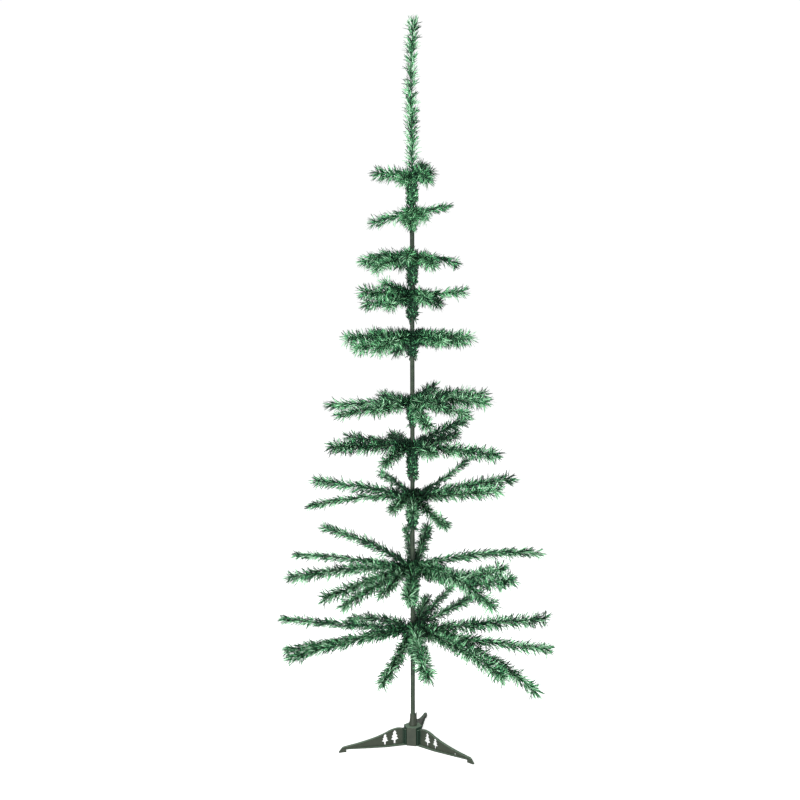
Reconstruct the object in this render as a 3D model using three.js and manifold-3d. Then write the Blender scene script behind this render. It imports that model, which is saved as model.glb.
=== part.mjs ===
// Artificial Christmas tree, 1.5 m tall. A thin painted pole carries ten whorls of tinsel boughs and a
// tinsel leader, and stands in a plastic stand with three pierced legs. Each bough is a wire with needles,
// bound to the pole by a wrap. Millimetres, +Z up. The origin is on the floor under the pole, and the front
// is towards -Y.
import * as THREE from "three";
import { mergeVertices } from "three/addons/utils/BufferGeometryUtils.js";
import Module from "manifold-3d";

const wasm = await Module();
wasm.setup();

// Driving dimensions
const TREE_HEIGHT = 1500;
const GAP = 0.3; // between two solids that touch
const POLE = { radius: 4.7, top: 1178, sides: 20 };
// A needle's root runs along the wire. Lengths vary down to the share evenness, and none is under least.
const NEEDLE = { length: 22, evenness: 0.82, root: 7, least: 6 };
const BOUGH = { sides: 3, shank: 9, pitch: 26, footRadius: 1.9, tipRadius: 1.2, tip: 15 };
const WRAP = { sides: 6, radius: 6.8, pitch: 17, needle: 8, reach: 11.5, clearance: 3 };
// Degrees that the needles turn round the wire, from group to group and from one bough or wrap to the next
const TWIST = { perBoughGroup: 40, perBough: 17, perWrapGroup: 25, perWrap: 31 };
const COLLAR = { radius: 7, sides: 16, margin: 3, grip: 1.5 }; // where the feet of a whorl's boughs are bound
const BUNDLE = { step: 2.4, nearBearing: 28 }; // how boughs that leave side by side are stacked at the pole
const SWAY = { share: 0.015, turns: 5, phase: 2.4 }; // sideways wander of a bough, as a share of its length
const BOUGHS_NUMBERED = 20; // numbers set aside for each whorl's boughs

const HUB = { acrossFlats: 33, height: 37, floor: 2.4 }; // the pole stands in its bore, on the floor
const SOCKET = { radius: 8, straightTo: 40, bendRadius: 6.4, bendTop: 47, neck: 54, neckRadius: 6, top: 60 };
const TAB = { bearing: 20, reach: 8.5, thick: 2, low: 57, top: 63 }; // a fin on the right of the socket
const LEG_BEARINGS = { left: 198, right: 318, back: 78 };
const LEG = { reach: 157, web: 2.6, bead: 6, beadThick: 1.8, plate: 3, plateWidth: 14 };
const PAD = { width: 4.6, overlap: 1, toeHeight: 1.4, instep: 2 }; // the block that a leg's foot ends in
const UNDER_RIM = { atHub: 15, atFoot: 5, thick: 2 }; // the flange on a leg's lower edge, which narrows
// A leg's top edge climbs from the hub to a crest, goes over a shoulder, and runs down to the ankle in a
// hollow. Each bend is the corner that the curve to that point turns towards.
const TOP_START = 32;
const CREST = { from: 34, height: 35.3, bend: [26, 35.3] };
const SHOULDER = { from: 56, height: 29.3, bend: [48, 33.8] };
const ANKLE = { from: 148, height: 10.5, bend: [88, 16.8] };
const UNDERSIDE = { height: 0.4, levelTo: 58, end: 5.2, endFrom: 143 }; // level, then a little up to the foot
const FIRS = [
  { centre: 39.6, foot: 3.2, width: 16, height: 27.6 },
  { centre: 60.3, foot: 3.6, width: 13.6, height: 22 },
];
const PEG_HOLE = { from: 111, height: 7.4, radius: 1.9 }; // in the right leg only

// Each row is a bough as it has been bent out by hand: bearing (0 right, 90 back, 180 left, 270 front),
// length, rise above level, curl of the tip above the foot (degrees), and brush, how far the needles stand
// out from the wire.
const WHORLS = [
  {
    height: 1170,
    wrap: 62,
    boughs: [
      [183, 86, 3, -14, 14],
      [24, 58, 16, -12, 14],
      [311, 68, -34, -110, 13],
      [240, 62, -27, -20, 12],
      [50, 60, 38, -20, 14],
      [118, 60, 14, -10, 12],
    ],
  },
  {
    height: 1096,
    wrap: 35,
    boughs: [
      [172, 95, -14, 0, 9.5],
      [18, 92, 14, 4, 7.5],
      [268, 84, -38, -26, 12],
      [253, 76, -34, -20, 11],
      [294, 72, -27, -20, 11],
      [100, 80, 0, -8, 11],
    ],
  },
  {
    height: 999,
    wrap: 55,
    boughs: [
      [201, 120, -9.5, -38, 11],
      [225, 120, -19, -34, 11],
      [154, 110, -4, -36, 11],
      [16, 107, -5, -40, 7.5],
      [62, 103, -2, -50, 11],
      [298, 105, -17, -40, 12],
      [108, 100, -2, -40, 11],
      [262, 96, -8, -40, 12],
    ],
  },
  {
    height: 926,
    wrap: 55,
    boughs: [
      [205, 124, 0, 0, 15],
      [161, 118, -9, 0, 12],
      [240, 112, -20, -10, 12],
      [228, 98, 8, 0, 11],
      [334, 126, 0, 3, 7.5],
      [52, 111, -5, 0, 12],
      [286, 113, -12, -12, 13],
      [98, 110, 0, 0, 12],
    ],
  },
  {
    height: 840,
    wrap: 44,
    boughs: [
      [199, 153, -4, 2, 16],
      [212, 146, -13, 0, 13],
      [235, 140, -17, -8, 13],
      [107, 136, -12, 0, 13],
      [336, 138, -3, 0, 17],
      [30, 136, -2, 0, 16],
      [138, 126, 5, 0, 13],
      [300, 130, -9, -6, 13],
      [72, 130, 4, 0, 13],
    ],
  },
  {
    height: 705,
    wrap: 49,
    boughs: [
      [170, 186, -2, 0, 9],
      [210, 182, -9, 0, 8],
      [19, 177, 4, -26, 13],
      [332, 177, -1, -6, 13],
      [308, 177, -9, -10, 11],
      [290, 165, -3, -4, 12],
      [71, 165, 14, 0, 11],
      [280, 165, -19, -6, 12],
      [240, 165, -6, 0, 12],
      [116, 165, 5, 0, 12],
    ],
  },
  {
    height: 614,
    wrap: 66,
    boughs: [
      [208, 196, 1, 0, 13.5],
      [142, 190, 5, 0, 11],
      [106, 186, 6, 0, 12],
      [250, 182, -9, -8, 10],
      [333, 200, -4, 0, 13],
      [41, 186, 18, -8, 10.5],
      [54, 186, 6, 0, 11],
      [284, 165, -3, -4, 12],
    ],
  },
  {
    height: 513,
    wrap: 72,
    boughs: [
      [166, 223, 7, -4, 10],
      [203, 231, -3, -13, 6.5],
      [111, 217, 9, -12, 8],
      [258, 206, -3, 0, 10],
      [8, 227, 9, 0, 12],
      [321, 223, 7, 6, 11],
      [49, 217, 19, 8, 7],
      [287, 217, -10, 8, 9],
      [270, 206, -5, 0, 10],
    ],
  },
  {
    height: 367,
    wrap: 82,
    boughs: [
      [145, 258, 14, -16, 9.5],
      [167, 264, 3, -6, 7],
      [200, 272, -1.3, -11, 11.5],
      [229, 264, -6, -4, 10],
      [238, 258, -8, -3, 10],
      [255, 250, -3, -4, 9],
      [7, 281, 4.5, -19, 9],
      [313, 258, 8, 40, 15],
      [320, 258, 2, 31, 14],
      [308, 260, -11.5, -34, 13],
      [80, 258, 12, 10, 12],
      [268, 248, -3, 0, 13],
      [93, 248, 10, -8, 9],
    ],
  },
  {
    height: 238,
    wrap: 57,
    boughs: [
      [170, 289, 2, 4, 8],
      [123, 279, -9, -22, 10],
      [207, 283, -1.8, 0, 8],
      [210, 289, -4.6, -6, 10],
      [258, 279, -6, 0, 10],
      [275, 272, -5, -14, 16],
      [308, 279, -9, -14, 13],
      [332, 297, -19.5, -30, 11],
      [337, 293, -2, 7, 9],
      [5, 293, 3.4, 4, 14],
      [59, 285, 3, 4, 10],
      [68, 285, 6, -6, 8],
      [82, 268, 2, 10, 12],
    ],
  },
];
const LEADER = { bearing: 270, rise: 90, curl: 0, brush: 14.5, number: 1 };
const LAST_FUSED_WHORL = 6; // the short boughs of the whorls down to this one are one solid with their wrap

function finish(color, roughness, metalness) {
  return new THREE.MeshStandardMaterial({ color, roughness, metalness });
}

const tinselGreen = finish(0x3f7a55, 0.55, 0);
const polePaint = finish(0x4a5246, 0.45, 0.2);
const standPlastic = finish(0x4a5a48, 0.5, 0);

// Numbers from 0 to 1 that are the same on every run
function seededRandom(seed) {
  let state = seed;
  return () => {
    state = (Math.imul(state, 1664525) + 1013904223) >>> 0;
    return state / 2 ** 32;
  };
}

// Solids are joined and cut as Manifold objects, and go back to three.js at the end.
function solidFrom(geometry) {
  const bare = geometry.clone();
  bare.deleteAttribute("normal");
  bare.deleteAttribute("uv");
  const merged = mergeVertices(bare, 1e-4);
  return new wasm.Manifold(
    new wasm.Mesh({
      numProp: 3,
      vertProperties: merged.getAttribute("position").array,
      triVerts: new Uint32Array(merged.index.array),
    }),
  );
}

function meshFrom(name, solid, material) {
  const { vertProperties, triVerts } = solid.getMesh();
  const geometry = new THREE.BufferGeometry()
    .setAttribute("position", new THREE.BufferAttribute(vertProperties, 3))
    .setIndex(new THREE.BufferAttribute(triVerts, 1));
  geometry.computeVertexNormals();
  const mesh = new THREE.Mesh(geometry, material);
  mesh.name = name;
  return mesh;
}

function uprightCylinder(radius, low, high, sides) {
  const cylinder = new THREE.CylinderGeometry(radius, radius, high - low, sides);
  return cylinder.rotateX(Math.PI / 2).translate(0, 0, (low + high) / 2);
}

// Centre lines

// The centre line of a bough: an arc in the upright plane of its bearing, wandering a little to the side.
class CentreLine {
  constructor({ foot, bearing, length, rise, curl, number }) {
    const angle = THREE.MathUtils.degToRad(bearing);
    this.foot = foot;
    this.length = length;
    this.number = number;
    this.outward = new THREE.Vector3(Math.cos(angle), Math.sin(angle), 0);
    this.side = new THREE.Vector3(-Math.sin(angle), Math.cos(angle), 0);
    this.turn = THREE.MathUtils.degToRad(curl);
    this.start = THREE.MathUtils.degToRad(rise) - this.turn / 2;
  }

  // The point at a distance along the line, with the directions forward, to the side and above
  at(distance) {
    const t = distance / this.length;
    const slope = this.start + this.turn * t;
    const straight = Math.abs(this.turn) < 1e-6;
    const run = straight ? t * Math.cos(slope) : (Math.sin(slope) - Math.sin(this.start)) / this.turn;
    const climb = straight ? t * Math.sin(slope) : (Math.cos(this.start) - Math.cos(slope)) / this.turn;
    const sway = SWAY.share * t * Math.sin(SWAY.turns * t + SWAY.phase * this.number);
    const point = this.foot
      .clone()
      .addScaledVector(this.outward, this.length * run)
      .addScaledVector(this.side, this.length * sway);
    point.z += this.length * climb;
    const forward = this.outward.clone().multiplyScalar(Math.cos(slope));
    forward.z = Math.sin(slope);
    const above = this.outward.clone().multiplyScalar(-Math.sin(slope));
    above.z = Math.cos(slope);
    return { point, forward, side: this.side, above };
  }

  // The line as short straight pieces, for measuring distances to it
  pieces(count = 14) {
    const points = Array.from({ length: count + 1 }, (_, i) => this.at((this.length * i) / count).point);
    return points.slice(1).map((end, i) => new THREE.Line3(points[i], end));
  }
}

// The boughs of a whorl leave the pole from about one height. Where two leave side by side, the one that
// climbs more steeply is a step higher.
const firstSlope = ([, , rise, curl]) => rise - curl / 2;
function levelsOf(rows) {
  const apart = (a, b) => Math.abs(((a[0] - b[0] + 540) % 360) - 180);
  const levels = new Map();
  for (const row of [...rows].sort((a, b) => firstSlope(a) - firstSlope(b))) {
    const beside = [...levels].filter(([other]) => apart(row, other) < BUNDLE.nearBearing);
    levels.set(row, 1 + Math.max(-1, ...beside.map(([, level]) => level)));
  }
  return levels;
}

// Half the height that the feet of a whorl's boughs take up
const bundleHalf = (whorl) => (Math.max(...levelsOf(whorl.boughs).values()) * BUNDLE.step) / 2;

function boughsOf(whorl, whorlNumber) {
  const fused = whorlNumber <= LAST_FUSED_WHORL;
  const levels = levelsOf(whorl.boughs);
  return whorl.boughs.map((row, i) => {
    const [bearing, length, rise, curl, brush] = row;
    const height = whorl.height - bundleHalf(whorl) + levels.get(row) * BUNDLE.step;
    const angle = THREE.MathUtils.degToRad(bearing);
    const tilt = Math.abs(Math.sin(THREE.MathUtils.degToRad(firstSlope(row))));
    const radius = fused ? COLLAR.radius - COLLAR.grip : COLLAR.radius + GAP + tilt * BOUGH.footRadius;
    const foot = new THREE.Vector3(Math.cos(angle) * radius, Math.sin(angle) * radius, height);
    const number = whorlNumber * BOUGHS_NUMBERED + i;
    const line = new CentreLine({ foot, bearing, length: length - radius, rise, curl, number });
    return { name: `bough_${two(whorlNumber)}_${two(i + 1)}`, line, brush, number };
  });
}

const two = (number) => String(number).padStart(2, "0");

// Half the distance from a point to the nearest other centre line. Needles that stay within it can't meet.
function ownSpace(point, ownLine, lines) {
  const nearest = new THREE.Vector3();
  let least = Infinity;
  for (const { line, pieces } of lines) {
    if (line === ownLine) continue;
    for (const piece of pieces) {
      piece.closestPointToPoint(point, true, nearest);
      least = Math.min(least, nearest.distanceTo(point));
    }
  }
  return least / 2;
}

// Needled wires

// A closed tube of flat sides through rings {at, radius, turn, spikes}. Where a ring has spikes, each side
// of the stretch that follows rises to a point, or stays flat where its spike is null. tip closes the far
// end in a point.
function needledTube(sides, rings, tip) {
  const vertices = [];
  const faces = [];
  const corner = (ring, k) => ring * sides + (k % sides);
  for (const { at, radius, turn } of rings) {
    for (let k = 0; k < sides; k++) {
      const angle = turn + (2 * Math.PI * k) / sides;
      vertices.push(
        at.point
          .clone()
          .addScaledVector(at.side, radius * Math.cos(angle))
          .addScaledVector(at.above, radius * Math.sin(angle)),
      );
    }
  }
  for (let ring = 0; ring < rings.length - 1; ring++) {
    for (let k = 0; k < sides; k++) {
      const around = [corner(ring, k), corner(ring, k + 1), corner(ring + 1, k + 1), corner(ring + 1, k)];
      const spike = rings[ring].spikes?.[k];
      if (spike) {
        const point = vertices.push(spike) - 1;
        around.forEach((from, i) => faces.push([from, around[(i + 1) % 4], point]));
      } else {
        faces.push([around[0], around[1], around[3]], [around[1], around[2], around[3]]);
      }
    }
  }
  const last = rings.length - 1;
  for (let k = 1; k < sides - 1; k++) faces.push([corner(0, 0), corner(0, k + 1), corner(0, k)]);
  if (tip) {
    const point = vertices.push(tip) - 1;
    for (let k = 0; k < sides; k++) faces.push([corner(last, k), corner(last, k + 1), point]);
  } else {
    for (let k = 1; k < sides - 1; k++) faces.push([corner(last, 0), corner(last, k), corner(last, k + 1)]);
  }
  const geometry = new THREE.BufferGeometry()
    .setAttribute("position", new THREE.Float32BufferAttribute(vertices.flatMap((v) => v.toArray()), 3))
    .setIndex(faces.flat());
  return solidFrom(geometry);
}

// A bough or the leader: a slim three-sided wire with groups of needles that lean forward. Each needle of the
// solid stands for a spray of them.
function needledWire({ line, brush, number }, lines, clearOfWraps) {
  const random = seededRandom(number);
  const wireEnd = line.length - BOUGH.tip;
  const groups = Math.max(2, Math.round((wireEnd - BOUGH.shank) / BOUGH.pitch));
  const step = (wireEnd - BOUGH.shank) / groups;
  const outShare = brush / NEEDLE.length;
  const forwardShare = Math.sqrt(1 - outShare ** 2);
  const ring = (distance, turn, spikes) => {
    const at = line.at(distance);
    const slim = THREE.MathUtils.lerp(BOUGH.footRadius, BOUGH.tipRadius, distance / line.length);
    const radius = Math.min(slim, ownSpace(at.point, line, lines) - GAP);
    return { at, radius, turn, spikes };
  };
  const turnAt = (group) => THREE.MathUtils.degToRad(TWIST.perBoughGroup * group + TWIST.perBough * number);
  const rings = [ring(0, turnAt(0), null)];
  for (let i = 1; i <= groups; i++) {
    const end = BOUGH.shank + i * step;
    const middle = line.at(end - NEEDLE.root / 2);
    const turn = turnAt(i);
    const offPole = Math.hypot(middle.point.x, middle.point.y);
    const wrapSpace = clearOfWraps ? offPole - WRAP.reach - GAP : Infinity;
    const space = Math.min(ownSpace(middle.point, line, lines) - GAP, wrapSpace);
    const spikes = Array.from({ length: BOUGH.sides }, (_, k) => {
      const length = Math.min(NEEDLE.length * THREE.MathUtils.lerp(NEEDLE.evenness, 1, random()), space);
      if (length < NEEDLE.least) return null;
      const angle = turn + (2 * Math.PI * (k + 0.5)) / BOUGH.sides;
      return middle.point
        .clone()
        .addScaledVector(middle.forward, length * forwardShare)
        .addScaledVector(middle.side, length * outShare * Math.cos(angle))
        .addScaledVector(middle.above, length * outShare * Math.sin(angle));
    });
    rings.push(ring(end - NEEDLE.root, turn, spikes), ring(end, turn, null));
  }
  return needledTube(BOUGH.sides, rings, line.at(line.length).point);
}

// The tinsel bound round the pole below a whorl: a six-sided sleeve with short needles that lean up and out
function wrapSleeve(whorl, whorlNumber, lines) {
  const low = whorl.height - whorl.wrap;
  const high = whorl.height + bundleHalf(whorl) + COLLAR.margin;
  const collarLow = whorl.height - bundleHalf(whorl) - COLLAR.margin;
  const groups = Math.round((high - low) / WRAP.pitch);
  const step = (high - low) / groups;
  const upright = (z) => ({
    point: new THREE.Vector3(0, 0, z),
    side: new THREE.Vector3(1, 0, 0),
    above: new THREE.Vector3(0, 1, 0),
  });
  const allPieces = lines.flatMap(({ pieces }) => pieces);
  const clearOfBoughs = (spike) => allPieces.every((piece) => distanceTo(piece, spike) > WRAP.clearance);
  const rings = [];
  for (let i = 0; i < groups; i++) {
    const start = low + i * step;
    const turn = THREE.MathUtils.degToRad(TWIST.perWrapGroup * i + TWIST.perWrap * whorlNumber);
    const spikes = Array.from({ length: WRAP.sides }, (_, k) => {
      const angle = turn + (2 * Math.PI * (k + 0.5)) / WRAP.sides;
      const spike = new THREE.Vector3(Math.cos(angle), Math.sin(angle), 0).multiplyScalar(WRAP.reach);
      spike.z = start + NEEDLE.root / 2 + WRAP.needle;
      return spike.z < collarLow && clearOfBoughs(spike) ? spike : null;
    });
    const { radius } = WRAP;
    rings.push({ at: upright(start), radius, turn, spikes });
    rings.push({ at: upright(start + NEEDLE.root), radius, turn });
  }
  rings.push({ at: upright(high), radius: WRAP.radius, turn: rings.at(-1).turn });
  const boreRadius = (POLE.radius + GAP) / Math.cos(Math.PI / POLE.sides);
  return needledTube(WRAP.sides, rings)
    .add(solidFrom(uprightCylinder(COLLAR.radius, collarLow, high, COLLAR.sides)))
    .subtract(solidFrom(uprightCylinder(boreRadius, low - 1, high + 1, POLE.sides)));
}

function distanceTo(piece, point) {
  return piece.closestPointToPoint(point, true, new THREE.Vector3()).distanceTo(point);
}

// The stand

// Turns a side view (along the leg, up) into an upright plate of the given thickness, centred on the XZ plane
function uprightPlate(shape, thickness, curveSegments = 6) {
  const geometry = new THREE.ExtrudeGeometry(shape, { depth: thickness, bevelEnabled: false, curveSegments });
  return geometry.translate(0, 0, -thickness / 2).rotateX(Math.PI / 2);
}

const HUB_FLAT = HUB.acrossFlats / 2;
const LEG_START = HUB_FLAT + GAP;

function topEdge() {
  const edge = new THREE.Path();
  edge.moveTo(LEG_START, TOP_START);
  for (const { bend, from, height } of [CREST, SHOULDER, ANKLE]) edge.quadraticCurveTo(...bend, from, height);
  return edge.getPoints(5).map((point) => [point.x, point.y]);
}

const lowerEdge = () => [
  [UNDERSIDE.endFrom, UNDERSIDE.end],
  [UNDERSIDE.levelTo, UNDERSIDE.height],
  [LEG_START, UNDERSIDE.height],
];

// A band of the given thickness on the inner side of an edge that is drawn from left to right or back
const bandUnder = (edge, thick) => polygon([...edge, ...edge.map(([x, z]) => [x, z - thick]).reverse()]);

function polygon(points) {
  return new THREE.Shape(points.map(([x, y]) => new THREE.Vector2(x, y)));
}

// A small fir: three tiers, each wider than the one above, over a trunk
function firOutline({ centre, foot, width, height }) {
  // One half, as shares of the width and of the height
  const half = [
    [0.13, 0],
    [0.13, 0.28],
    [0.51, 0.36],
    [0.25, 0.53],
    [0.4, 0.58],
    [0.14, 0.76],
    [0.26, 0.81],
    [0.05, 1],
  ];
  const right = half.map(([x, z]) => [centre + x * width, foot + z * height]);
  const left = half.map(([x, z]) => [centre - x * width, foot + z * height]).reverse();
  return polygon([...right, ...left]);
}

function standLeg(bearing, pegHole) {
  const top = topEdge();
  const web = polygon([...top, ...lowerEdge()]);
  const foot = polygon([
    [UNDERSIDE.endFrom - PAD.overlap, 0],
    [LEG.reach, 0],
    [LEG.reach, PAD.toeHeight],
    [ANKLE.from + PAD.instep, ANKLE.height - PAD.overlap],
    [ANKLE.from - PAD.overlap, ANKLE.height],
    [UNDERSIDE.endFrom - PAD.overlap, UNDERSIDE.end + PAD.overlap],
  ]);
  const plate = polygon([
    [LEG_START, UNDERSIDE.height],
    [LEG_START + LEG.plate, UNDERSIDE.height],
    [LEG_START + LEG.plate, TOP_START],
    [LEG_START, TOP_START],
  ]);
  const plan = polygon([
    [LEG_START, -UNDER_RIM.atHub / 2],
    [UNDERSIDE.endFrom, -UNDER_RIM.atFoot / 2],
    [UNDERSIDE.endFrom, UNDER_RIM.atFoot / 2],
    [LEG_START, UNDER_RIM.atHub / 2],
  ]);
  const tapered = solidFrom(new THREE.ExtrudeGeometry(plan, { depth: HUB.height, bevelEnabled: false }));
  const rim = lowerEdge().map(([x, z]) => [x, z + UNDER_RIM.thick]);
  let leg = solidFrom(uprightPlate(web, LEG.web))
    .add(solidFrom(uprightPlate(bandUnder(top, LEG.beadThick), LEG.bead)))
    .add(solidFrom(uprightPlate(bandUnder(rim, UNDER_RIM.thick), UNDER_RIM.atHub)).intersect(tapered))
    .add(solidFrom(uprightPlate(foot, PAD.width)))
    .add(solidFrom(uprightPlate(plate, LEG.plateWidth)));
  const cutDepth = 2 * LEG.web; // past both faces
  for (const fir of FIRS) leg = leg.subtract(solidFrom(uprightPlate(firOutline(fir), cutDepth)));
  if (pegHole) {
    const hole = new THREE.Shape().absarc(PEG_HOLE.from, PEG_HOLE.height, PEG_HOLE.radius, 0, 2 * Math.PI);
    leg = leg.subtract(solidFrom(uprightPlate(hole, cutDepth, 4)));
  }
  return leg.rotate([0, 0, bearing]);
}

function hexagonPrism(flatRadius, low, high) {
  const prism = uprightCylinder(flatRadius / Math.cos(Math.PI / 6), low, high, 6);
  return solidFrom(prism.rotateZ(THREE.MathUtils.degToRad(LEG_BEARINGS.left)));
}

function standHub() {
  const boreRadius = (POLE.radius + GAP) / Math.cos(Math.PI / POLE.sides);
  const neck = new THREE.QuadraticBezierCurve(
    new THREE.Vector2(SOCKET.radius, SOCKET.straightTo),
    new THREE.Vector2(SOCKET.bendRadius, SOCKET.bendTop),
    new THREE.Vector2(SOCKET.neckRadius, SOCKET.neck),
  );
  const outline = [
    new THREE.Vector2(0, HUB.height / 2),
    new THREE.Vector2(SOCKET.radius, HUB.height / 2),
    ...neck.getPoints(5),
    new THREE.Vector2(SOCKET.neckRadius, SOCKET.top),
    new THREE.Vector2(0, SOCKET.top),
  ];
  const socket = new THREE.LatheGeometry(outline, POLE.sides).rotateX(Math.PI / 2);
  const tab = polygon([
    [0, HUB.height / 2],
    [TAB.reach, HUB.height / 2],
    [TAB.reach, TAB.top],
    [0, TAB.low],
  ]);
  const bore = uprightCylinder(boreRadius, HUB.floor, TAB.top + 1, POLE.sides);
  return hexagonPrism(HUB_FLAT, 0, HUB.height)
    .add(solidFrom(socket))
    .add(solidFrom(uprightPlate(tab, TAB.thick)).rotate([0, 0, TAB.bearing]))
    .subtract(solidFrom(bore));
}

// The whole tree

const tree = new THREE.Group();

const pole = new THREE.Mesh(uprightCylinder(POLE.radius, HUB.floor + GAP, POLE.top, POLE.sides), polePaint);
pole.name = "pole";
tree.add(pole);

tree.add(meshFrom("stand_hub", standHub(), standPlastic));
for (const [place, bearing] of Object.entries(LEG_BEARINGS)) {
  tree.add(meshFrom(`stand_leg_${place}`, standLeg(bearing, place === "right"), standPlastic));
}

const leaderFoot = new THREE.Vector3(0, 0, POLE.top + GAP);
const leader = {
  line: new CentreLine({ ...LEADER, foot: leaderFoot, length: TREE_HEIGHT - leaderFoot.z }),
  brush: LEADER.brush,
  number: LEADER.number,
};
const boughs = WHORLS.map((whorl, i) => boughsOf(whorl, i + 1));
const lines = [leader, ...boughs.flat()].map(({ line }) => ({ line, pieces: line.pieces() }));

tree.add(meshFrom("leader", needledWire(leader, lines, false), tinselGreen));
WHORLS.forEach((whorl, i) => {
  const number = i + 1;
  const sleeve = wrapSleeve(whorl, number, lines);
  const wires = boughs[i].map((bough) => needledWire(bough, lines, true));
  if (number <= LAST_FUSED_WHORL) {
    const whole = wires.reduce((joined, wire) => joined.add(wire), sleeve);
    tree.add(meshFrom(`whorl_${two(number)}`, whole, tinselGreen));
  } else {
    tree.add(meshFrom(`wrap_${two(number)}`, sleeve, tinselGreen));
    wires.forEach((wire, k) => tree.add(meshFrom(boughs[i][k].name, wire, tinselGreen)));
  }
});

export default tree;
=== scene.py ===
# An artificial Christmas tree: tinsel boughs of film needles on twisted wire, a painted pole and a plastic
# stand. The boughs follow the same rows and the same rule as the part's own source, in millimetres.
import math
import bmesh
import bpy
import numpy as np
from mathutils import Matrix, Vector


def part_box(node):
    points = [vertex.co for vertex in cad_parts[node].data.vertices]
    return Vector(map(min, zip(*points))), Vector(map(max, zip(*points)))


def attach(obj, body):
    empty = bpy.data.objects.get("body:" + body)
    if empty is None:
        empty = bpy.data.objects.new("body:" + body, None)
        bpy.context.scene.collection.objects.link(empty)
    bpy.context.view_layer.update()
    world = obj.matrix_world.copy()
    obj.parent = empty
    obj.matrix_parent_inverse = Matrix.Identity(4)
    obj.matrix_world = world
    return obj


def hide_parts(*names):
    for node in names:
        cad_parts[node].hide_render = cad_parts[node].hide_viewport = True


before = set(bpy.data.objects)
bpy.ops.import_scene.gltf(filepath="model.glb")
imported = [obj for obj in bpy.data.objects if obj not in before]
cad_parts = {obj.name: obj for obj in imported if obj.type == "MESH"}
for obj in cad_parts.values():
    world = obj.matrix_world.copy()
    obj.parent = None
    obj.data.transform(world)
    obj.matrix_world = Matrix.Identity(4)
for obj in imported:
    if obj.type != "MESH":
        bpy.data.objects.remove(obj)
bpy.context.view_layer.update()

MM = 0.001

# Sizes shared with the part's source
TREE_HEIGHT = 1500
GAP = 0.3
POLE_RADIUS, POLE_TOP = 4.7, 1178
COLLAR_RADIUS, COLLAR_GRIP, COLLAR_MARGIN = 7, 1.5, 3  # where the feet of a whorl's boughs are bound
FOOT_WIRE_RADIUS = 1.9
BUNDLE_STEP, BUNDLE_NEAR = 2.4, 28  # how boughs that leave side by side are stacked at the pole
SWAY_SHARE, SWAY_TURNS, SWAY_PHASE = 0.015, 5, 2.4  # sideways wander of a bough, as a share of its length
LAST_FUSED_WHORL = 6
BOUGHS_NUMBERED = 20  # a bough's number is its whorl's times this, plus its place in the whorl
LEADER_NUMBER = 1

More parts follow.
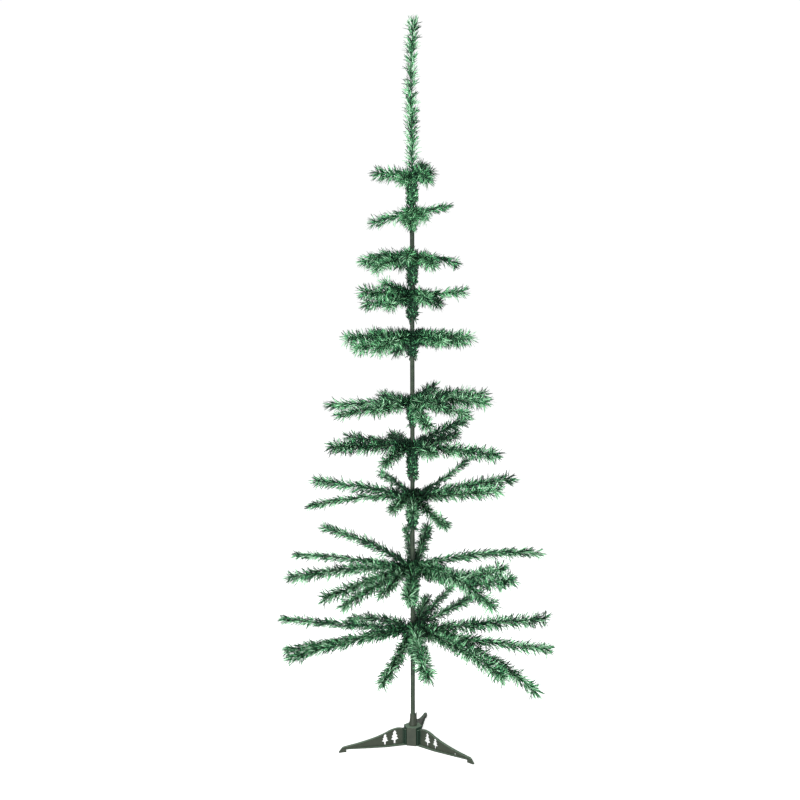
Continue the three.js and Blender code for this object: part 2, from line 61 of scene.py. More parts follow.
# Each whorl: height, length of the wrap below it, and its boughs as bearing (0 right, 90 back, 180 left,
# 270 front), length, rise above level, curl of the tip above the foot, and how far the needles stand out.
WHORLS = [
    (1170, 62, [
        (183, 86, 3, -14, 14),
        (24, 58, 16, -12, 14),
        (311, 68, -34, -110, 13),
        (240, 62, -27, -20, 12),
        (50, 60, 38, -20, 14),
        (118, 60, 14, -10, 12),
    ]),
    (1096, 35, [
        (172, 95, -14, 0, 9.5),
        (18, 92, 14, 4, 7.5),
        (268, 84, -38, -26, 12),
        (253, 76, -34, -20, 11),
        (294, 72, -27, -20, 11),
        (100, 80, 0, -8, 11),
    ]),
    (999, 55, [
        (201, 120, -9.5, -38, 11),
        (225, 120, -19, -34, 11),
        (154, 110, -4, -36, 11),
        (16, 107, -5, -40, 7.5),
        (62, 103, -2, -50, 11),
        (298, 105, -17, -40, 12),
        (108, 100, -2, -40, 11),
        (262, 96, -8, -40, 12),
    ]),
    (926, 55, [
        (205, 124, 0, 0, 15),
        (161, 118, -9, 0, 12),
        (240, 112, -20, -10, 12),
        (228, 98, 8, 0, 11),
        (334, 126, 0, 3, 7.5),
        (52, 111, -5, 0, 12),
        (286, 113, -12, -12, 13),
        (98, 110, 0, 0, 12),
    ]),
    (840, 44, [
        (199, 153, -4, 2, 16),
        (212, 146, -13, 0, 13),
        (235, 140, -17, -8, 13),
        (107, 136, -12, 0, 13),
        (336, 138, -3, 0, 17),
        (30, 136, -2, 0, 16),
        (138, 126, 5, 0, 13),
        (300, 130, -9, -6, 13),
        (72, 130, 4, 0, 13),
    ]),
    (705, 49, [
        (170, 186, -2, 0, 9),
        (210, 182, -9, 0, 8),
        (19, 177, 4, -26, 13),
        (332, 177, -1, -6, 13),
        (308, 177, -9, -10, 11),
        (290, 165, -3, -4, 12),
        (71, 165, 14, 0, 11),
        (280, 165, -19, -6, 12),
        (240, 165, -6, 0, 12),
        (116, 165, 5, 0, 12),
    ]),
    (614, 66, [
        (208, 196, 1, 0, 13.5),
        (142, 190, 5, 0, 11),
        (106, 186, 6, 0, 12),
        (250, 182, -9, -8, 10),
        (333, 200, -4, 0, 13),
        (41, 186, 18, -8, 10.5),
        (54, 186, 6, 0, 11),
        (284, 165, -3, -4, 12),
    ]),
    (513, 72, [
        (166, 223, 7, -4, 10),
        (203, 231, -3, -13, 6.5),
        (111, 217, 9, -12, 8),
        (258, 206, -3, 0, 10),
        (8, 227, 9, 0, 12),
        (321, 223, 7, 6, 11),
        (49, 217, 19, 8, 7),
        (287, 217, -10, 8, 9),
        (270, 206, -5, 0, 10),
    ]),
    (367, 82, [
        (145, 258, 14, -16, 9.5),
        (167, 264, 3, -6, 7),
        (200, 272, -1.3, -11, 11.5),
        (229, 264, -6, -4, 10),
        (238, 258, -8, -3, 10),
        (255, 250, -3, -4, 9),
        (7, 281, 4.5, -19, 9),
        (313, 258, 8, 40, 15),
        (320, 258, 2, 31, 14),
        (308, 260, -11.5, -34, 13),
        (80, 258, 12, 10, 12),
        (268, 248, -3, 0, 13),
        (93, 248, 10, -8, 9),
    ]),
    (238, 57, [
        (170, 289, 2, 4, 8),
        (123, 279, -9, -22, 10),
        (207, 283, -1.8, 0, 8),
        (210, 289, -4.6, -6, 10),
        (258, 279, -6, 0, 10),
        (275, 272, -5, -14, 16),
        (308, 279, -9, -14, 13),
        (332, 297, -19.5, -30, 11),
        (337, 293, -2, 7, 9),
        (5, 293, 3.4, 4, 14),
        (59, 285, 3, 4, 10),
        (68, 285, 6, -6, 8),
        (82, 268, 2, 10, 12),
    ]),
]

# Each whorl's shades: the tone of its boughs, how much painted shade darkens them at the pole, the contrast
# between their needles, and the tone of its wrap. A higher tone is lighter.
WHORL_SHADES = [
    (0.4, 0.5, 0.85, -0.3),
    (0.5, 0.5, 0.85, 0.4),
    (0.4, 1.5, 0.85, -1.3),
    (0.25, 2.4, 0.85, -1.5),
    (0.5, 2.6, 0.85, -1.3),
    (-0.1, 1.6, 1.3, -0.6),
    (-0.7, 1.9, 1.3, -1.0),
    (-0.1, 2.0, 1.3, -1.3),
    (0.1, 1.6, 1.3, 0.1),
    (0.15, 2.2, 1.3, -0.1),
]

# Needles: flat strips cut into the edges of a film that is twisted between two wires, in small combs.
# Where two numbers stand in brackets, they are the least and the most, or an average and its spread.
NEEDLE_LENGTH, LENGTH_SHARES = 22, (0.8, 1.04)
NEEDLE_WIDTH, WIDTH_SHARES = 1.65, (0.45, 1.25)
ROOT_WIDTH, END_WIDTH = 2 / 3, 3 / 7  # as shares of the width in the middle
NEEDLE_FOR_BRUSH = 2.5  # a thin brush has shorter needles: their length is this many times the brush
NEEDLES_PER_MM = 5.0
FULL_BRUSH, LEAST_DENSITY, MOST_DENSITY = 13, 0.7, 1.05  # a thin brush has fewer needles
FIRST_NEEDLE = 1.0  # distance from the bough's foot
FILM_PITCH, FILM_PHASE = 38, 2.4  # wire for one turn of the film, and how far it is turned bough by bough
FILM_HALF, FILM_SPREAD = 0.5, 0.75
COMB = 2.0  # length of wire whose needles lie side by side
COMB_TURN, COMB_LEANS = 0.2, (0.8, 1.15)
NEEDLE_LEAN, LEAST_LEAN, MOST_LEAN = (1.2, 0.45), 0.1, 0.97
STRAY_SHARE, STRAY_LEAN = 0.15, 1.4  # how many needles stand out further than the rest, and how much
TIP_BARE = 0.62  # the wire ends this share of a needle before the bough's tip
TIP_TUFT, TUFT_LEANS = 9, (0.3, 1.7)  # length of wire at the tip whose needles fan out, and how far
BRUSH_AT_TIP = 1.05  # the brush at a bough's tip, as a share of that at its foot
NEEDLE_DROOP, NEEDLE_BOW, NEEDLE_ROLL = 2.5, (0.5, 0.6), 0.8
BOUGH_SEED = 1000

# The upright brush at the top
LEADER_BRUSH, LEADER_AT_TIP, LEADER_NEEDLES_PER_MM = 11.6, 0.9, 4.25
# The leader's tone, painted shade at its foot and how far that reaches, and its contrast
LEADER_TONE, LEADER_DARK_FOOT, LEADER_DARK_REACH, LEADER_CONTRAST = 0.7, 0.3, 32, 0.95

# Wires: two round ones twisted together, as one outline, from inside the collar to near the bough's tip
WIRE_RADIUS, WIRE_START, WIRE_STEP = 0.95, -2.0, 2.2
TWO_WIRES = np.array([(1.0, 0.0), (0.55, 0.42), (-0.55, 0.42), (-1.0, 0.0), (-0.55, -0.42), (0.55, -0.42)])

# Shades from dark to light. A needle's root, middle and end each get a score, and a low score is dark.
# The score mixes the film's own tones, dealt out by chance, with painted shade and painted light
SHADES = ("dark", "deep", "mid", "light", "pale")
SHADE_LIMITS = (-1.15, -0.4, 0.6, 1.75)
# Painted shade: a needle's root, where other needles shade it, and its end score lower than its middle
ROOT_PAINTED_SHADE, END_PAINTED_SHADE = 2.0, 1.5
ROOT_TO, MIDDLE_TO = 0.42, 0.66  # where a needle's root and middle end, as shares of its length
ROOT_BOW = 0.9
COMB_SPREAD, NEEDLE_SPREAD = 1.1, 1.15  # how far chance spreads the scores, by comb and by needle
COMB_CHANGE = 0.9  # combs along a bough are lighter and darker by turns
# Painted shade on a bough's upper side
UPPER_PAINTED_SHADE = 0.2  # needles on a bough's upper side catch more light, so they score lower
# Painted light on boughs that point to the front, and painted shade on those that point back
FRONT_PAINTED_LIGHT, BACK_PAINTED_SHADE = 1.15, 0.5
FOOT_EVENNESS, FOOT_FALL = 0.6, 1.5  # how much less the shades differ at the pole, and how fast that ends
# Painted shade near the pole, where the boughs crowd together
DARK_REACH, DARK_REACH_IN_FRONT, IN_FRONT_POWER = 34, 14, 4  # how far from the pole a bough is darker

# Wraps: the tails of a whorl's wires, bound to the pole below it
WRAP_SEED = 5000
TAIL_OUT, TAIL_STEP = 5.3, 3  # distance from the pole's middle, and height from ring to ring
TAIL_START_SPREAD, TAIL_END = 4, 1
TAIL_JITTER, TAIL_WANDER, TAIL_WAVE = 0.3, 0.25, 14

# The needles of a wrap, which stand in combs in sectors round it and lean up and out, or down
WRAP_NEEDLES_PER_MM, WRAP_SECTORS = 16, 11
SECTOR_SPREAD, SECTOR_TURN = 0.22, 0.35
WRAP_OUT, WRAP_BARE_TOP, WRAP_CEILING = 5.2, 2, 9
WRAP_WIDTH, WRAP_WIDTH_SHARES, WRAP_LENGTHS = 1.6, (0.8, 1.1), (11, 19)
WRAP_REACHES, WRAP_REACH_SPREAD = (3, 8), (1, 0.2)  # by comb and by needle
WRAP_FOOT_REACH, WRAP_MORE_REACH = 0.6, 0.6  # the share of it at the wrap's foot, and what the top has more
WRAP_SIDEWAYS, LEAST_RISE = 0.35, 3
BENT_DOWN_SHARE, BENT_DOWN = 0.3, -0.6
WRAP_BOW, WRAP_ROLL = (0.9, 0.4), 0.6
# Painted shade: the top of a wrap, under its whorl's boughs, scores lower
WRAP_COMB_SPREAD, WRAP_NEEDLE_SPREAD, WRAP_TOP_PAINTED_SHADE = 0.5, 1.2, 0.9

# The knot of crushed needles where the boughs leave the pole, all in the darkest shade as painted shade
KNOT_NEEDLES, KNOT_WIDTH, KNOT_SCORE = 260, 3.0, -3.0
KNOT_OUT, KNOT_HEIGHTS, KNOT_REACHES, KNOT_SCATTER, KNOT_BOW = 6, (-5, 4), (9, 15), 3.0, 0.5

# The strand that binds a wrap, whose needles lie slantwise round it
STRAND_PITCH, STRAND_NEEDLES_PER_TURN, STRAND_PHASE = 9.5, 42, 1.7
STRAND_OUT, STRAND_BELOW_WHORL, STRAND_ABOVE_LOW = 7.4, 8, 3
STRAND_REACHES, STRAND_ALONG, STRAND_UP = (0.4, 3.2), (7, 12), (2, 9)
STRAND_BOW, STRAND_TWIST = (1.0, 1.8), 0.3
STRAND_LIGHTER, STRAND_SPREAD = 0.7, 1.0

# Colours and finishes
# These shades give the film's own tones and also painted shade and painted light
NEEDLE_COLORS = {
    "dark": (0.006, 0.022, 0.012),
    "deep": (0.020, 0.076, 0.037),
    "mid": (0.053, 0.212, 0.087),
    "light": (0.118, 0.320, 0.150),
    "pale": (0.240, 0.425, 0.272),
}
NEEDLE_ROUGHNESS = 0.5
NEEDLE_GLOSS = {"dark": 0.1, "deep": 0.1, "mid": 0.12, "light": 0.12, "pale": 0.12}
WIRE_COLOR, WIRE_ROUGHNESS, WIRE_GLOSS = (0.040, 0.038, 0.030), 0.6, 0.25
# Dark and light colour, how fine the patches are, the range of roughness, and the grain's depth and fineness
POLE_PAINT = ((0.011, 0.019, 0.012), (0.024, 0.036, 0.022), 90, (0.6, 0.75), 0.25, 900)
STAND_PLASTIC = ((0.016, 0.022, 0.0145), (0.025, 0.031, 0.021), 60, (0.55, 0.7), 0.2, 1200)
DULL_GLOSS = 0.2
PATCH_DETAIL, PATCH_FROM, PATCH_TO = 6, 0.35, 0.68
GRAIN_DETAIL, GRAIN_DISTANCE = 3, 0.0004
# Painted shade in the slots where the legs meet the hub
SLOT_SHADE_COLOR = (0.004, 0.016, 0.009)
SLOT_BEARING = 78  # of one leg; the others are a third of a turn away
SLOT_INNER, SLOT_FULL, SLOT_OUTER = 15.5, 19.5, 24.5
SLOT_INNER_BLUR, SLOT_SIDE_BLUR = 0.3, 0.2
# Painted light on the faces of the stand that look up
UPWARD_LIGHT_COLOR, UPWARD_LIGHT_FROM, UPWARD_LIGHT_FULL = (0.16, 0.23, 0.165), 0.55, 1.0  # by how far up a face looks

# The pole's surface: each lump's depth, wave along the pole and waves round it
POLE_SIDES, POLE_STEP, POLE_INSET = 40, 5.0, 0.09
POLE_LUMPS = [(0.05, 23, 2), (0.04, 9, -3)]

# The stand, in the same sizes as in the part's source
HUB_FLAT, HUB_HEIGHT, HUB_FLOOR, HUB_CORNER = 16.5, 37, 2.4, 1.2
SOCKET_FOOT, SOCKET_TOP = 36, 60
SOCKET_PROFILE = [(8, SOCKET_FOOT), (8, 40), (7.4, 43.2), (6.8, 46.8), (6.3, 50.5), (6, 54), (6, 59.6)]
SOCKET_RIM, MOUTH_WIDENING, MOUTH_DEPTH = 5.8, 0.1, 0.2
BORE, BORE_SIDES = POLE_RADIUS + GAP, 32
FLOOR_MARGIN, FLOOR_LIFT = 1, 0.05
TAB_BEARING, TAB_START, TAB_REACH, TAB_THICK, TAB_TOP = 20, BORE + 0.4, 8.5, 2, 63
LEG_BEARINGS = {"left": 198, "right": 318, "back": 78}
LEG_START, LEG_REACH = HUB_FLAT + GAP, 157
WEB, BEAD, BEAD_THICK = 2.6, 6, 1.8
PLATE, PLATE_WIDTH = 3, 14
PAD_WIDTH, PAD_OVERLAP, TOE_HEIGHT, TOE_TOP = 4.6, 1, 1.4, [(150, 9.5), (147, 10.5)]
RIM_AT_HUB, RIM_AT_FOOT, RIM_THICK, RIM_OVERLAP = 15, 5, 2, 0.4
TOP_START = 32
TOP_CURVES = [((26, 35.3), (34, 35.3)), ((48, 33.8), (56, 29.3)), ((88, 16.8), (148, 10.5))]
UNDER_HEIGHT, UNDER_LEVEL_TO, UNDER_END, UNDER_END_FROM = 0.4, 58, 5.2, 143
FIRS = [(39.6, 3.2, 16, 27.6), (60.3, 3.6, 13.6, 22)]  # distance from the pole, foot's height, width, height
FIR_HALF = [
    (0.13, 0), (0.13, 0.28), (0.51, 0.36), (0.25, 0.53),
    (0.4, 0.58), (0.14, 0.76), (0.26, 0.81), (0.05, 1),
]
PEG_HOLE = (111, 7.4, 1.9)  # distance from the pole, height and radius
WEB_EDGE, FLOOR_EDGE, SMALL_EDGE, HUB_EDGE, BEAD_EDGE = 0.25, 0.35, 0.4, 0.5, 0.6  # how round edges are
WELD = 1e-4

# The room, in metres: a white floor that runs into a white surround, and soft light from the front
SEEN_WHITE, ROOM_LIGHT = 1.02, 0.52
FLOOR_HALF, FLOOR_WHITE, FLOOR_ROUGHNESS, FLOOR_GLOSS, FLOOR_GLOW = 30, 0.96, 0.9, 0.1, 0.7
# Each light's name, place, what it points at, its width and its power in watts
LIGHTS = [
    ("front_light", (-0.7, -3.0, 0.6), (0, 0, 0.7), 0.7, 180),
    ("back_light", (-1.6, 2.2, 1.3), (0, 0, 0.5), 1.0, 5),
    ("top_light", (-0.5, 0.4, 3.2), (0, 0, 0.5), 1.0, 20),
]

# The camera, level and a little left of the pole, at the photograph's viewing angle
CAMERA_PLACE, CAMERA_ROLL = (-0.0255, -1.7742, 0.7055), 0.09  # the roll in degrees
CAMERA_LENS, CAMERA_SENSOR, CAMERA_SHIFT = 38.7, 36, 0.00125

UP = np.array([0.0, 0.0, 1.0])
ALMOST_STRAIGHT = 1e-6

# The boughs' lines


class CentreLine:
    """An arc in the upright plane of a bearing, wandering a little to the side."""

    def __init__(self, foot, bearing, length, rise, curl, number):
        angle = math.radians(bearing)
        self.foot = np.array(foot, float)
        self.length = length
        self.number = number
        self.outward = np.array([math.cos(angle), math.sin(angle), 0.0])
        self.side = np.array([-math.sin(angle), math.cos(angle), 0.0])
        self.turn = math.radians(curl)
        self.start = math.radians(rise) - self.turn / 2

    def at(self, distance):
        """Points at distances along the line, with the directions forward, to the side and above."""
        t = np.asarray(distance, float) / self.length
        slope = self.start + self.turn * t
        if abs(self.turn) < ALMOST_STRAIGHT:
            run = t * np.cos(slope)
            climb = t * np.sin(slope)
        else:
            run = (np.sin(slope) - math.sin(self.start)) / self.turn
            climb = (math.cos(self.start) - np.cos(slope)) / self.turn
        sway = SWAY_SHARE * t * np.sin(SWAY_TURNS * t + SWAY_PHASE * self.number)
        point = (
            self.foot
            + np.outer(self.length * run, self.outward)
            + np.outer(self.length * sway, self.side)
            + np.outer(self.length * climb, UP)
        )
        forward = np.outer(np.cos(slope), self.outward) + np.outer(np.sin(slope), UP)
        above = np.outer(-np.sin(slope), self.outward) + np.outer(np.cos(slope), UP)
        side = np.broadcast_to(self.side, point.shape)
        return point, forward, side, above


def first_slope(row):
    return row[2] - row[3] / 2


def angle_between(bearing, other):
    return abs((bearing - other + 540) % 360 - 180)


def levels_of(rows):
    """Where two boughs leave side by side, the one that climbs more steeply is a step higher."""
    levels = {}
    for row in sorted(rows, key=first_slope):
        beside = [level for other, level in levels.items() if angle_between(row[0], other[0]) < BUNDLE_NEAR]
        levels[row] = 1 + max(beside, default=-1)
    return levels


def bundle_half(rows):
    return max(levels_of(rows).values()) * BUNDLE_STEP / 2


def boughs_of(whorl, whorl_number):
    """The centre line of each bough of a whorl, with its brush."""
    height, _, rows = whorl
    levels = levels_of(rows)
    half = bundle_half(rows)
    made = []
    for i, row in enumerate(rows):
        bearing, length, rise, curl, brush = row
        tilt = abs(math.sin(math.radians(first_slope(row))))
        radius = COLLAR_RADIUS + GAP + tilt * FOOT_WIRE_RADIUS
        if whorl_number <= LAST_FUSED_WHORL:
            radius = COLLAR_RADIUS - COLLAR_GRIP
        angle = math.radians(bearing)
        foot_height = height - half + levels[row] * BUNDLE_STEP
        foot = (math.cos(angle) * radius, math.sin(angle) * radius, foot_height)
        number = whorl_number * BOUGHS_NUMBERED + i
        made.append((CentreLine(foot, bearing, length - radius, rise, curl, number), brush))
    return made


# Directions, one row for each needle


def unit(vectors):
    return vectors / np.linalg.norm(vectors, axis=-1, keepdims=True)


def scaled(vectors, lengths):
    return vectors * lengths[:, None]


def square_to(vectors, directions):
    """The unit vectors square to the directions that are nearest to the vectors."""
    return unit(vectors - scaled(directions, np.sum(vectors * directions, axis=1)))


def rolled(flat, direction, roll):
    """The flat axis of a needle, turned about the needle."""
    return scaled(flat, np.cos(roll)) + scaled(np.cross(direction, flat), np.sin(roll))


def around_pole(angle):
    """Level directions away from the pole, and onward round it."""
    cos, sin, level = np.cos(angle), np.sin(angle), np.zeros_like(angle)
    return np.stack([cos, sin, level], axis=1), np.stack([-sin, cos, level], axis=1)


# Meshes from arrays


class Pile:
    """Gathers vertices and faces of many small things for one mesh."""

    def __init__(self):
        self.vertices = []
        self.faces = []
        self.count = 0

    def add(self, vertices, *face_arrays):
        """Each array of faces holds rows of vertex numbers of its own block."""
        self.vertices.append(vertices.reshape(-1, 3))
        for faces in face_arrays:
            self.faces.append(faces + self.count)
        self.count += len(self.vertices[-1])

    def mesh(self, name):
        vertices = np.concatenate(self.vertices) * MM
        loops = np.concatenate([faces.ravel() for faces in self.faces])
        sizes = np.concatenate([np.full(len(faces), faces.shape[1]) for faces in self.faces])
        mesh = bpy.data.meshes.new(name)
        mesh.vertices.add(len(vertices))
        mesh.vertices.foreach_set("co", vertices.ravel().astype(np.float32))
        mesh.loops.add(len(loops))
        mesh.loops.foreach_set("vertex_index", loops.astype(np.int32))
        mesh.polygons.add(len(sizes))
        starts = np.concatenate([[0], np.cumsum(sizes)[:-1]])
        mesh.polygons.foreach_set("loop_start", starts.astype(np.int32))
        mesh.polygons.foreach_set("loop_total", sizes.astype(np.int32))
        mesh.update(calc_edges=True)
        return mesh


def strips(pile, start, end, start_half, end_half):
    """Flat four-cornered strips from start to end."""
    vertices = np.stack([start - start_half, start + start_half, end + end_half, end - end_half], axis=1)
    pile.add(vertices, 4 * np.arange(len(start))[:, None] + np.arange(4))


def closed_tube(pile, rings):
    """A tube that is closed at both ends, from an array of rings of corner points."""
    count, corners = rings.shape[:2]
    first = corners * np.arange(count - 1)[:, None]
    here = first + np.arange(corners)
    following = first + (np.arange(corners) + 1) % corners
    walls = np.stack([here, following, corners + following, corners + here], axis=2)
    foot = np.array([range(corners - 1, -1, -1)])
    top = np.array([range(corners)]) + (count - 1) * corners
    pile.add(rings, walls.reshape(-1, 4), foot, top)


def wire_tube(pile, points, side, above, turn):
    """Two wires along points, whose outline turns from ring to ring."""
    cos, sin = np.cos(turn)[:, None], np.sin(turn)[:, None]
    wide, high = (TWO_WIRES * WIRE_RADIUS).T
    x = (wide * cos - high * sin)[:, :, None]
    y = (wide * sin + high * cos)[:, :, None]
    closed_tube(pile, points[:, None, :] + x * side[:, None, :] + y * above[:, None, :])


# The tinsel

piles = {name: Pile() for name in ("roots", *SHADES)}
wires = Pile()


def deal_out(score, base, tip, bow, width_axis, width):
    """Gives each needle's root, middle and end the shades that its score calls for."""
    low = base + ROOT_TO * (tip - base) + ROOT_BOW * bow
    high = base + MIDDLE_TO * (tip - base) + bow
    half = scaled(width_axis, width / 2)
    for part_score, darkest, part in (
        (score - ROOT_PAINTED_SHADE, "roots", (base, low, half * ROOT_WIDTH, half)),
        (score, "dark", (low, high, half, half)),
        (score - END_PAINTED_SHADE, "dark", (high, tip, half, half * END_WIDTH)),
    ):
        shade = np.searchsorted(SHADE_LIMITS, part_score)
        for i, name in enumerate((darkest, *SHADES[1:])):
            mine = shade == i
            if mine.any():
                strips(piles[name], *(points[mine] for points in part))


def film_turn(distance, number):
    return 2 * math.pi * distance / FILM_PITCH + FILM_PHASE * number


def needled(line, brush, tone, dark_foot, dark_reach, contrast, brush_at_tip, needles_per_mm):
    """A bough or the leader: its needles and the twisted wires that hold them."""
    chance = np.random.default_rng(BOUGH_SEED + line.number)
    needle = min(NEEDLE_LENGTH, NEEDLE_FOR_BRUSH * brush)
    end = line.length - TIP_BARE * needle
    count = int(end * needles_per_mm * min(MOST_DENSITY, max(LEAST_DENSITY, brush / FULL_BRUSH)))
    distance = np.sort(chance.uniform(FIRST_NEEDLE, end, count))
    edge = chance.integers(0, 2, count)
    comb = (distance / COMB).astype(int) * 2 + edge
    combs = comb.max() + 1
    comb_turn = chance.normal(0, COMB_TURN, combs)
    comb_lean = chance.uniform(*COMB_LEANS, combs)
    every_second = np.arange(combs) // 2 % 2 * 2 - 1
    comb_score = contrast * (chance.normal(0, COMB_SPREAD, combs) + COMB_CHANGE * every_second)

    point, forward, side, above = line.at(distance)
    azimuth = film_turn(distance, line.number) + math.pi * edge + comb_turn[comb]
    azimuth += chance.normal(0, FILM_SPREAD, count)
    radial = scaled(side, np.cos(azimuth)) + scaled(above, np.sin(azimuth))

    stand_out = brush / needle * (1 + (brush_at_tip - 1) * (distance / line.length))
    stray = np.where(chance.random(count) < STRAY_SHARE, STRAY_LEAN, 1.0)
    stray = np.where(distance > end - TIP_TUFT, chance.uniform(*TUFT_LEANS, count), stray)
    leaning = stand_out * comb_lean[comb] * stray * chance.normal(*NEEDLE_LEAN, count)
    lean = np.arcsin(np.clip(leaning, LEAST_LEAN, MOST_LEAN))
    length = needle * chance.uniform(*LENGTH_SHARES, count)
    direction = scaled(forward, np.cos(lean)) + scaled(radial, np.sin(lean))
    base = point + FILM_HALF * radial
    tip = base + scaled(direction, length)
    tip[:, 2] -= NEEDLE_DROOP * chance.random(count)
    bow = scaled(radial, chance.normal(*NEEDLE_BOW, count))
    width_axis = rolled(square_to(forward, direction), direction, chance.normal(0, NEEDLE_ROLL, count))
    width = NEEDLE_WIDTH * chance.uniform(*WIDTH_SHARES, count)

    # Painted shade near the pole and on the upper side; the rest of the score is tone and chance
    near_pole = np.exp(-((distance / dark_reach) ** FOOT_FALL))
    score = comb_score[comb] + contrast * chance.normal(0, NEEDLE_SPREAD, count)
    score = score * (1 - FOOT_EVENNESS * near_pole) + tone
    score = score - UPPER_PAINTED_SHADE * radial[:, 2] - dark_foot * near_pole
    deal_out(score, base, tip, bow, width_axis, width)

    distance = np.linspace(WIRE_START, end, max(3, int((end - WIRE_START) / WIRE_STEP)))
    point, _, side, above = line.at(distance)
    wire_tube(wires, point, side, above, film_turn(distance, line.number))


def bound_tails(chance, tails, low, high):
    """The lower ends of a whorl's wires, side by side down the pole."""
    for i in range(tails):
        angle = 2 * math.pi * (i + TAIL_JITTER * chance.random()) / tails
        start = low + TAIL_START_SPREAD * chance.random()
        z = np.linspace(start, high - TAIL_END, int((high - low) / TAIL_STEP))
        away, onward = around_pole(angle + TAIL_WANDER * np.sin(z / TAIL_WAVE + i))
        wire_tube(wires, away * TAIL_OUT + np.outer(z, UP), onward, away, film_turn(z, 0))


def wrap_needles(chance, low, high, tone):
    """The needles of the tails, which lean up and out, and some down."""
    count = int((high - low) * WRAP_NEEDLES_PER_MM)
    z = np.sort(chance.uniform(low, high - WRAP_BARE_TOP, count))
    height_step = (z / COMB).astype(int)
    height_step -= height_step.min()
    sector = chance.integers(0, WRAP_SECTORS, count)
    comb = height_step * WRAP_SECTORS + sector
    combs = comb.max() + 1
    angle = 2 * math.pi * (sector + chance.normal(0, SECTOR_SPREAD, count)) / WRAP_SECTORS
    away, onward = around_pole(angle + SECTOR_TURN * height_step)

    share = (z - low) / (high - low)
    reach = chance.uniform(*WRAP_REACHES, combs)[comb] * chance.normal(*WRAP_REACH_SPREAD, count)
    reach *= WRAP_FOOT_REACH + WRAP_MORE_REACH * share
    needle = chance.uniform(*WRAP_LENGTHS, count)
    sideways = chance.normal(0, WRAP_SIDEWAYS, combs)[comb] * needle
    rise = np.sqrt(np.clip(needle**2 - reach**2 - sideways**2, LEAST_RISE**2, None))
    rise *= np.where(chance.random(combs)[comb] < BENT_DOWN_SHARE, BENT_DOWN, 1.0)
    base = away * WRAP_OUT + np.outer(z, UP)
    tip = base + scaled(away, reach) + scaled(onward, sideways) + np.outer(rise, UP)
    tip[:, 2] += np.minimum(high + WRAP_CEILING - tip[:, 2], 0)

    direction = unit(tip - base)
    flat = unit(np.cross(direction, away))
    width_axis = rolled(flat, direction, chance.normal(0, WRAP_ROLL, count))
    bow = scaled(away, chance.normal(*WRAP_BOW, count))
    score = chance.normal(tone, WRAP_COMB_SPREAD, combs)[comb] + chance.normal(0, WRAP_NEEDLE_SPREAD, count)
    # Painted shade at the top of the wrap, under the boughs
    score -= WRAP_TOP_PAINTED_SHADE * share**2
    width = WRAP_WIDTH * chance.uniform(*WRAP_WIDTH_SHARES, count)
    deal_out(score, base, tip, bow, width_axis, width)


def knot_in_painted_shade(chance, height):
    """Crushed needles where the boughs leave the pole, all painted in the darkest shade as painted shade."""
    away, _ = around_pole(chance.uniform(0, 2 * math.pi, KNOT_NEEDLES))
    base = away * KNOT_OUT + np.outer(height + chance.uniform(*KNOT_HEIGHTS, KNOT_NEEDLES), UP)
    tip = scaled(away, chance.uniform(*KNOT_REACHES, KNOT_NEEDLES)) + base * UP
    tip += chance.normal(0, KNOT_SCATTER, (KNOT_NEEDLES, 3))
    upright = square_to(UP, unit(tip - base))
    score = np.full(KNOT_NEEDLES, KNOT_SCORE)
    deal_out(score, base, tip, away * KNOT_BOW, upright, np.full(KNOT_NEEDLES, KNOT_WIDTH))


def binding_strand(chance, low, top, phase, tone):
    """A strand wound round the wrap, whose needles lie slantwise."""
    turns = (top - low) / STRAND_PITCH
    count = int(turns * STRAND_NEEDLES_PER_TURN)
    t = np.sort(chance.random(count))
    away, onward = around_pole(2 * math.pi * turns * t + phase)
    base = away * STRAND_OUT + np.outer(low + STRAND_ABOVE_LOW + (top - low) * t, UP)
    reach = chance.uniform(*STRAND_REACHES, count)
    tip = base + scaled(onward, chance.uniform(*STRAND_ALONG, count)) + scaled(away, reach)
    tip[:, 2] += chance.uniform(*STRAND_UP, count)
    twist = scaled(STRAND_TWIST * away, chance.normal(0, 1, count))
    width_axis = unit(np.cross(unit(tip - base), away) + twist)
    bow = scaled(away, chance.uniform(*STRAND_BOW, count))
    width = WRAP_WIDTH * chance.uniform(*WRAP_WIDTH_SHARES, count)
    deal_out(chance.normal(tone, STRAND_SPREAD, count), base, tip, bow, width_axis, width)


def wrap(whorl, whorl_number, tone):
    """The bound tails of a whorl's boughs along the pole, with their needles, the knot and the strand."""
    height, length, rows = whorl
    chance = np.random.default_rng(WRAP_SEED + whorl_number)
    low = height - length
    high = height + bundle_half(rows) + COLLAR_MARGIN
    bound_tails(chance, len(rows), low, high)
    wrap_needles(chance, low, high, tone)
    knot_in_painted_shade(chance, height)
    top = height - STRAND_BELOW_WHORL
    binding_strand(chance, low, top, STRAND_PHASE * whorl_number, tone + STRAND_LIGHTER)


